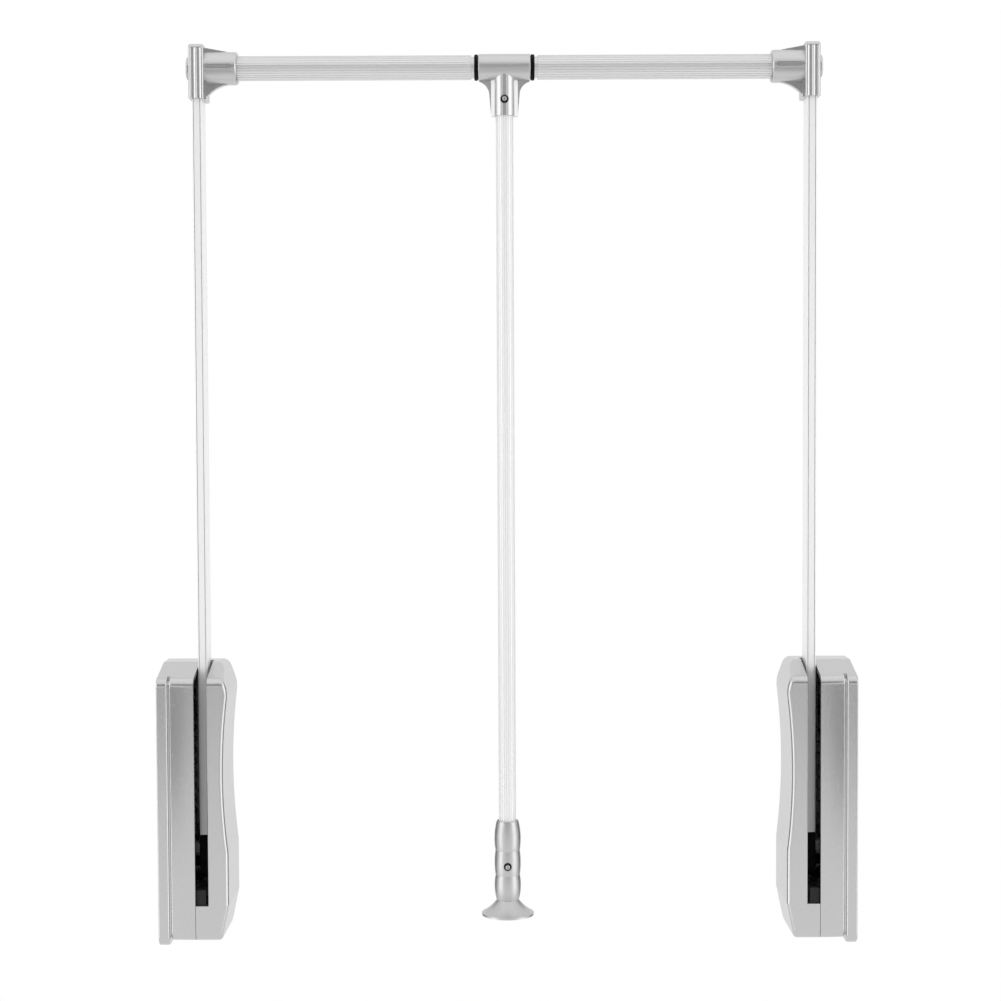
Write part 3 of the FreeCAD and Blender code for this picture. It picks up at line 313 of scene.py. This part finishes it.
def rubber_finish():
    # Black moulded rubber: flat black with a powdery grain.
    material, tree = new_finish("black_moulded_rubber")
    if tree:
        colour = bpy.context.scene.rod_finishes.rubber
        shaded(tree, grain(tree, 0.7), low=0.7, high=0.85, colour=colour, spread=0.3, bump=0.2,
               depth=0.1 * MM)
    return material


def joint_finish():
    return lacquer_finish("silver_lacquered_abs", bpy.context.scene.rod_finishes.joint, 0.29, 0.34)


def grip_finish():
    return lacquer_finish("satin_lacquered_abs", bpy.context.scene.rod_finishes.grip, 0.36, 0.41)


def arm_finish():
    return drawn_finish("clear_anodised_upright", bpy.context.scene.rod_finishes.arm, (1, 1, 120), 0.12)


def rail_finish():
    return drawn_finish("clear_anodised_rail", bpy.context.scene.rod_finishes.rail, (120, 1, 1), 0.5)


def coat(obj, material):
    """Give an object this one material."""
    obj.data.materials.clear()
    obj.data.materials.append(material)


def coat_nodes(material, *names):
    """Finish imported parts, of both sides where a name starts with an underscore."""
    for name in names:
        for node in [side + name for side in SIDES] if name.startswith("_") else [name]:
            coat(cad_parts[node], material)


# Modelling


def deselect():
    if bpy.context.object and bpy.context.object.mode != "OBJECT":
        bpy.ops.object.mode_set(mode="OBJECT")
    bpy.ops.object.select_all(action="DESELECT")


def begin(name, primitive, **options):
    """Add a primitive with nothing else selected, name it, and open it in edit mode."""
    deselect()
    primitive(**options)
    piece = bpy.context.object
    piece.name = name
    piece.data.name = name
    bpy.ops.object.mode_set(mode="EDIT")
    return piece


def pick(piece, kind, test):
    """Select just the points, edges or faces that pass the test, and stay in edit mode."""
    bpy.ops.mesh.select_mode(type={"vertices": "VERT", "edges": "EDGE", "polygons": "FACE"}[kind])
    bpy.ops.mesh.select_all(action="DESELECT")
    bpy.ops.object.mode_set(mode="OBJECT")
    for item in getattr(piece.data, kind):
        item.select = bool(test(item))
    bpy.ops.object.mode_set(mode="EDIT")


def push(x=0, y=0, z=0):
    """Extrude what is selected and move it on."""
    bpy.ops.mesh.extrude_region_move(TRANSFORM_OT_translate={"value": (x, y, z)})


def tidy_mesh():
    """Merge doubles and turn the faces outwards."""
    bpy.ops.mesh.select_all(action="SELECT")
    bpy.ops.mesh.remove_doubles(threshold=MERGE_REACH)
    bpy.ops.mesh.normals_make_consistent(inside=False)


def apply_modifier(piece, kind, **settings):
    """Add a modifier, set it up and apply it."""
    bpy.ops.object.mode_set(mode="OBJECT")
    modifier = piece.modifiers.new(kind.title(), kind)
    for key, value in settings.items():
        setattr(modifier, key, value)
    bpy.ops.object.modifier_apply(modifier=modifier.name)


def settle(piece, place=(0, 0, 0), turn=(0, 0, 0), angle=35):
    """Close edit mode, put the piece in its place, and smooth it."""
    if piece.mode != "OBJECT":
        bpy.ops.object.mode_set(mode="OBJECT")
    piece.rotation_euler = turn
    piece.location = place
    bpy.ops.object.transform_apply(location=True, rotation=True, scale=True)
    bpy.ops.object.shade_smooth_by_angle(angle=math.radians(angle))
    return piece


def copy_piece(piece, name, shift):
    """A copy with its own mesh, moved along by the shift."""
    deselect()
    twin = piece.copy()
    twin.data = piece.data.copy()
    twin.name = name
    twin.data.name = name
    bpy.context.collection.objects.link(twin)
    bpy.context.view_layer.objects.active = twin
    twin.select_set(True)
    twin.location = shift
    bpy.ops.object.transform_apply(location=True, rotation=True, scale=True)
    return twin


def seat(piece, body, node, material):
    """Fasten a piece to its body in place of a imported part."""
    coat(piece, material)
    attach(piece, body)
    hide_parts(node)


def middle(node):
    low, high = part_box(node)
    return (low + high) / 2


def fluted_tube(name, radius, length, wall, flutes, depth):
    """A tube from the origin up along Z with fine grooves down its outside."""
    piece = begin(name, bpy.ops.mesh.primitive_circle_add, vertices=flutes * FLUTE_STEPS, radius=radius)
    pick(piece, "vertices", lambda point: point.index % FLUTE_STEPS in GROOVE_STEPS)
    share = 1 - depth / radius
    bpy.ops.transform.resize(value=(share, share, 1), center_override=(0, 0, 0))
    bpy.ops.mesh.select_all(action="SELECT")
    push(z=length)
    tidy_mesh()
    apply_modifier(piece, "SOLIDIFY", thickness=wall, offset=-1)
    bpy.ops.object.mode_set(mode="EDIT")
    return piece


def grooved_bar(name, width, depth, length, ease, groove, sink):
    """A flat bar from the origin up along Z, with rounded edges and narrow grooves beside the edges seen."""
    piece = begin(name, bpy.ops.mesh.primitive_plane_add, size=1)
    bpy.ops.transform.resize(value=(width, depth, 1), center_override=(0, 0, 0))
    bpy.ops.mesh.bevel(affect="VERTICES", offset=ease, segments=EASE_STEPS)
    push(z=length)
    tidy_mesh()
    bpy.ops.object.mode_set(mode="OBJECT")
    aside = width / 2 - ease - groove / 2
    back = depth / 2 - ease - groove / 2
    rows = [(x, -depth / 2, groove, 2 * sink) for x in (-aside, aside)]
    rows += [(x, back, 2 * sink, groove) for x in (-width / 2, width / 2)]
    cutter = begin(name + "_grooves", bpy.ops.mesh.primitive_cube_add, size=1)
    bpy.ops.mesh.delete(type="VERT")
    for x, y, across, along in rows:
        place = (x, y, length / 2)
        bpy.ops.mesh.primitive_cube_add(size=1, location=place)
        bpy.ops.transform.resize(value=(across, along, OVERRUN_SHARE * length), center_override=place)
    deselect()
    bpy.context.view_layer.objects.active = piece
    piece.select_set(True)
    apply_modifier(piece, "BOOLEAN", operation="DIFFERENCE", object=cutter, solver="EXACT")
    bpy.data.objects.remove(cutter, do_unlink=True)
    return piece


def cross_screw(name, head_radius, head_height, shank_radius, shank_length, recess):
    """A pan head screw with a cross recess, its head up and its seat at the origin."""
    piece = begin(name, bpy.ops.mesh.primitive_cylinder_add, vertices=ROUND_STEPS, radius=shank_radius,
                  depth=shank_length, location=(0, 0, -shank_length / 2), end_fill_type="NGON")
    pick(piece, "polygons", lambda face: face.normal.z > FACING_SHARE)
    share = head_radius / shank_radius
    push()
    bpy.ops.transform.resize(value=(share, share, 1), center_override=(0, 0, 0))
    push(z=head_height * HEAD_WALL_SHARE)
    for narrow, rise in DOME_SHARES:
        push(z=head_height * rise)
        bpy.ops.transform.resize(value=(narrow, narrow, 1), center_override=(0, 0, 0))
    tidy_mesh()
    bpy.ops.object.mode_set(mode="OBJECT")
    cutter = begin(name + "_recess", bpy.ops.mesh.primitive_cube_add, size=1,
                   location=(0, 0, head_height))
    reach = head_radius * RECESS_REACH_SHARE
    deep = head_height * RECESS_HEIGHT_SHARE
    bpy.ops.transform.resize(value=(reach, recess, deep), center_override=(0, 0, head_height))
    for sign in (-1, 1):
        pick(cutter, "polygons", lambda face: face.normal.x * sign > FACING_SHARE)
        bpy.ops.transform.resize(value=(1, RECESS_TAPER_SHARE, 1), center_override=(0, 0, head_height))
    bpy.ops.mesh.select_all(action="SELECT")
    bpy.ops.mesh.duplicate()
    bpy.ops.transform.rotate(value=math.pi / 2, orient_axis="Z", center_override=(0, 0, head_height))
    bpy.ops.object.mode_set(mode="OBJECT")
    deselect()
    bpy.context.view_layer.objects.active = piece
    piece.select_set(True)
    apply_modifier(piece, "BOOLEAN", operation="DIFFERENCE", object=cutter, solver="EXACT",
                   use_self=True)
    bpy.data.objects.remove(cutter, do_unlink=True)
    bpy.ops.object.mode_set(mode="EDIT")
    return piece


def flat_ring(name, inner, outer, thick):
    """A flat washer from the origin up along Z."""
    piece = begin(name, bpy.ops.mesh.primitive_circle_add, vertices=ROUND_STEPS, radius=outer)
    bpy.ops.mesh.select_mode(type="EDGE")
    bpy.ops.mesh.select_all(action="SELECT")
    push()
    share = inner / outer
    bpy.ops.transform.resize(value=(share, share, 1), center_override=(0, 0, 0))
    bpy.ops.mesh.select_all(action="SELECT")
    push(z=thick)
    tidy_mesh()
    return piece


class CLOSET_ROD_OT_casings(bpy.types.Operator):
    """Finish the wall plates and the casing halves"""

    bl_idname = "closet_rod.casings"
    bl_label = "Casings"

    def execute(self, context):
        coat_nodes(casing_finish(), "_wall_plate", "_outer_casing", "_inner_casing")
        return {"FINISHED"}


class CLOSET_ROD_OT_arms(bpy.types.Operator):
    """Draw the two grooved arms and finish their hubs and corner joints"""

    bl_idname = "closet_rod.arms"
    bl_label = "Arms"

    def execute(self, context):
        sizes = context.scene.rod_sizes
        for side in SIDES:
            low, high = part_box(f"{side}_arm")
            bar = grooved_bar(f"{side}_arm_bar", high.x - low.x, high.y - low.y, high.z - low.z,
                              sizes.arm_ease, sizes.arm_groove, sizes.arm_groove_depth)
            place = middle(f"{side}_arm")
            settle(bar, (place.x, place.y, low.z))
            seat(bar, f"{side}_swing_arm", f"{side}_arm", arm_finish())
        coat_nodes(joint_finish(), "_corner_joint", "_corner_cap")
        coat_nodes(nylon_finish(), "_arm_hub", "_pivot_bushes")
        coat_nodes(steel_finish(), "_arm_rivets", "_pivot_axle", "_crank_pin")
        return {"FINISHED"}


class CLOSET_ROD_OT_lift(bpy.types.Operator):
    """Finish the spring carriages, dampers and bumpers"""

    bl_idname = "closet_rod.lift"
    bl_label = "Lift works"

    def execute(self, context):
        coat_nodes(nylon_finish(), "_spring_carriage", "_spring_seat")
        coat_nodes(steel_finish(), "_spring_guide", "_damper_rod", "_damper_cylinder", "_case_screws")
        coat_nodes(rubber_finish(), "_rest_bumper", "_end_bumper")
        return {"FINISHED"}


class CLOSET_ROD_OT_springs(bpy.types.Operator):
    """Wind the two lift springs"""

    bl_idname = "closet_rod.springs"
    bl_label = "Lift springs"

    def execute(self, context):
        sizes = context.scene.rod_sizes
        low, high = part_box("left_lift_spring")
        wire = sizes.spring_wire / 2
        radius = (high.x - low.x) / 2 - wire
        rise = high.z - low.z - 2 * wire
        spring = begin("left_spring_coil", bpy.ops.mesh.primitive_circle_add, vertices=WIRE_STEPS,
                       radius=wire)
        bpy.ops.transform.rotate(value=math.pi / 2, orient_axis="X", center_override=(0, 0, 0))
        bpy.ops.transform.translate(value=(radius, 0, 0))
        apply_modifier(spring, "SCREW", angle=2 * math.pi, screw_offset=rise / sizes.spring_turns,
                       iterations=sizes.spring_turns, steps=COIL_STEPS, render_steps=COIL_STEPS,
                       use_merge_vertices=False)
        bpy.ops.object.mode_set(mode="EDIT")
        bpy.ops.mesh.select_mode(type="EDGE")
        bpy.ops.mesh.select_all(action="DESELECT")
        bpy.ops.mesh.select_non_manifold()
        bpy.ops.mesh.edge_face_add()
        tidy_mesh()
        centre = (low + high) / 2
        settle(spring, (centre.x, centre.y, low.z + wire))
        twin = copy_piece(spring, "right_spring_coil", (-2 * centre.x, 0, 0))
        for side, piece in zip(SIDES, (spring, twin)):
            seat(piece, f"{side}_unit", f"{side}_lift_spring", spring_finish())
            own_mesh(piece)
        return {"FINISHED"}


class CLOSET_ROD_OT_rail(bpy.types.Operator):
    """Draw the two fluted rail tubes and finish the inner tube and the collar rings"""

    bl_idname = "closet_rod.rail"
    bl_label = "Rail"

    def execute(self, context):
        sizes = context.scene.rod_sizes
        for side in SIDES:
            low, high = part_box(f"{side}_rail_tube")
            tube = fluted_tube(f"{side}_rail_flutes", (high.z - low.z) / 2, high.x - low.x, sizes.rail_wall,
                               sizes.rail_flutes, sizes.flute_depth)
            settle(tube, (low.x, 0, middle(f"{side}_rail_tube").z), (0, math.pi / 2, 0), FLUTE_ANGLE)
            seat(tube, f"{side}_swing_arm", f"{side}_rail_tube", rail_finish())
        coat_nodes(rail_finish(), "inner_tube")
        coat_nodes(nylon_finish(), "_collar_ring")
        return {"FINISHED"}


class CLOSET_ROD_OT_pull_rod(bpy.types.Operator):
    """Draw the fluted pull rod and finish the tee and the grip"""

    bl_idname = "closet_rod.pull_rod"
    bl_label = "Pull rod and tee"

    def execute(self, context):
        sizes = context.scene.rod_sizes
        low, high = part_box("pull_rod")
        tube = fluted_tube("pull_rod_flutes", (high.x - low.x) / 2, high.z - low.z, sizes.pull_wall,
                           sizes.pull_flutes, sizes.flute_depth)
        settle(tube, (0, 0, low.z), (0, 0, math.pi / 2), FLUTE_ANGLE)
        seat(tube, "puller", "pull_rod", arm_finish())
        coat_nodes(joint_finish(), "tee")
        coat_nodes(grip_finish(), "grip")
        return {"FINISHED"}


class CLOSET_ROD_OT_screws(bpy.types.Operator):
    """Make the cross recess screws of the tee, grip and corner joints, and the front screws' washers"""

    bl_idname = "closet_rod.screws"
    bl_label = "Screws"

    def execute(self, context):
        sizes = context.scene.rod_sizes
        rows = [("tee_screw", "puller", -1), ("grip_screw", "puller", -1)]
        rows += [(f"{side}_corner_screw", f"{side}_swing_arm", 1) for side in SIDES]
        for node, body, facing in rows:
            low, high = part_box(node)
            rim = (high.x - low.x) / 2
            reach = high.y - low.y
            height = rim * HEAD_HEIGHT_SHARE
            head = rim - (sizes.washer_ring * WASHER_COVER_SHARE if body == "puller" else 0)
            screw = cross_screw(f"{node}_cross", head, height, head * SHANK_SHARE, reach - height,
                                sizes.screw_recess)
            front = low.y if facing < 0 else high.y
            place = middle(node)
            seat_place = (place.x, front - facing * height, place.z)
            turn = (-facing * math.pi / 2, 0, 0)
            settle(screw, seat_place, turn)
            seat(screw, body, node, steel_finish())
            if body == "puller":
                washer = flat_ring(f"{node}_washer", head * WASHER_BORE_SHARE, head + sizes.washer_ring,
                                   sizes.washer_thick)
                settle(washer, seat_place, turn)
                coat(washer, nylon_finish())
                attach(washer, body)
        return {"FINISHED"}


def seen_directly(tree):
    """One for the camera's rays and for those that metal or glass sends on, zero for other light."""
    path = add_node(tree, "ShaderNodeLightPath")
    seen = path.outputs["Is Camera Ray"]
    for kind in ("Is Glossy Ray", "Is Transmission Ray"):
        either = add_node(tree, "ShaderNodeMath", {0: seen, 1: path.outputs[kind]}, operation="MAXIMUM")
        seen = either.outputs[0]
    return seen


class CLOSET_ROD_OT_stage(bpy.types.Operator):
    """Set up the floor, the surround, the lamps and the camera"""

    bl_idname = "closet_rod.stage"
    bl_label = "Stage"

    def execute(self, context):
        scene = context.scene
        scene.view_settings.view_transform = "Standard"
        white = scene.rod_finishes.backdrop
        reach = scene.rod_sizes.floor_reach
        world = bpy.data.worlds.new("white_surround")
        world.use_nodes = True
        tree = world.node_tree
        tree.nodes.clear()
        level = add_node(tree, "ShaderNodeMapRange", {
            "Value": seen_directly(tree), "To Min": SURROUND_SHARE, "To Max": WHITE_SHARE})
        back = add_node(tree, "ShaderNodeBackground", {"Color": white, "Strength": level.outputs[0]})
        add_node(tree, "ShaderNodeOutputWorld", {"Surface": back.outputs[0]})
        scene.world = world

        floor = begin("studio_floor", bpy.ops.mesh.primitive_plane_add, size=2 * reach)
        bpy.ops.mesh.subdivide(number_cuts=3)
        settle(floor, (0, 0, -scene.rod_sizes.floor_drop))
        paper, tree = new_finish("white_paper_floor")
        matt = add_node(tree, "ShaderNodeBsdfDiffuse", {"Color": white})
        glow = add_node(tree, "ShaderNodeEmission", {"Color": white, "Strength": WHITE_SHARE})
        place = add_node(tree, "ShaderNodeTexCoord")
        far = add_node(tree, "ShaderNodeVectorMath", {0: place.outputs["Object"]}, operation="LENGTH")
        share = add_node(tree, "ShaderNodeMapRange", {
            "Value": far.outputs["Value"], "From Min": FLOOR_NEAR, "From Max": FLOOR_FAR,
            "To Min": FLOOR_GLOW_SHARE, "To Max": WHITE_SHARE})
        seen = add_node(tree, "ShaderNodeMath", {0: share.outputs[0], 1: seen_directly(tree)},
                        operation="MULTIPLY")
        both = add_node(tree, "ShaderNodeMixShader", {
            0: seen.outputs[0], 1: matt.outputs[0], 2: glow.outputs[0]})
        add_node(tree, "ShaderNodeOutputMaterial", {"Surface": both.outputs[0]})
        coat(floor, paper)
        floor.visible_glossy = False

        for name, size, place, turn, shade in CARDS:
            card = begin(name, bpy.ops.mesh.primitive_plane_add, size=2)
            bpy.ops.transform.resize(value=(*size, 1), center_override=(0, 0, 0))
            bpy.ops.mesh.subdivide(number_cuts=1)
            settle(card, place, [math.radians(part) for part in turn])
            felt, tree = new_finish(f"felt_{shade[1:]}")
            if tree:
                nap = add_node(tree, "ShaderNodeBsdfDiffuse", {"Color": linear(shade)})
                add_node(tree, "ShaderNodeOutputMaterial", {"Surface": nap.outputs[0]})
            coat(card, felt)
            card.visible_camera = False
            card.visible_diffuse = False
            card.visible_shadow = False

        aim = Vector(LAMP_AIM)
        for name, place, (across, tall), watts in LAMPS:
            lamp = bpy.data.lights.new(name, "AREA")
            lamp.shape = "RECTANGLE"
            lamp.size = across
            lamp.size_y = tall
            lamp.energy = watts
            holder = bpy.data.objects.new(name, lamp)
            scene.collection.objects.link(holder)
            holder.location = place
            holder.rotation_euler = (aim - Vector(place)).to_track_quat("-Z", "Y").to_euler()

        lens = bpy.data.cameras.new("studio_camera")
        lens.sensor_fit = "HORIZONTAL"
        lens.sensor_width = CAMERA_SENSOR
        lens.lens = CAMERA_LENS
        lens.clip_end = CAMERA_FAR
        camera = bpy.data.objects.new("studio_camera", lens)
        scene.collection.objects.link(camera)
        camera.matrix_world = (
            Matrix.Translation(CAMERA_PLACE)
            @ Matrix.Rotation(math.radians(CAMERA_TILT), 4, "X")
            @ Matrix.Rotation(math.radians(CAMERA_ROLL), 4, "Z")
        )
        scene.camera = camera
        return {"FINISHED"}


STEPS = (
    CLOSET_ROD_OT_casings,
    CLOSET_ROD_OT_arms,
    CLOSET_ROD_OT_lift,
    CLOSET_ROD_OT_springs,
    CLOSET_ROD_OT_rail,
    CLOSET_ROD_OT_pull_rod,
    CLOSET_ROD_OT_screws,
    CLOSET_ROD_OT_stage,
)


class CLOSET_ROD_PT_panel(bpy.types.Panel):
    """Lists the steps and the settings"""

    bl_idname = "CLOSET_ROD_PT_panel"
    bl_label = "Closet Rod"
    bl_space_type = "VIEW_3D"
    bl_region_type = "UI"
    bl_category = "Closet Rod"

    def draw(self, context):
        for step in STEPS:
            self.layout.operator(step.bl_idname)
        for group in (context.scene.rod_sizes, context.scene.rod_finishes):
            for key in group.__annotations__:
                self.layout.prop(group, key)


CLASSES = (RodSizes, RodFinishes) + STEPS + (CLOSET_ROD_PT_panel,)


def register():
    for kind in CLASSES:
        bpy.utils.register_class(kind)
    bpy.types.Scene.rod_sizes = PointerProperty(type=RodSizes)
    bpy.types.Scene.rod_finishes = PointerProperty(type=RodFinishes)


def unregister():
    del bpy.types.Scene.rod_finishes
    del bpy.types.Scene.rod_sizes
    for kind in reversed(CLASSES):
        bpy.utils.unregister_class(kind)


def main():
    register()
    bpy.ops.closet_rod.casings()
    bpy.ops.closet_rod.arms()
    bpy.ops.closet_rod.lift()
    bpy.ops.closet_rod.springs()
    bpy.ops.closet_rod.rail()
    bpy.ops.closet_rod.pull_rod()
    bpy.ops.closet_rod.screws()
    bpy.ops.closet_rod.stage()


if __name__ == "__main__":
    main()
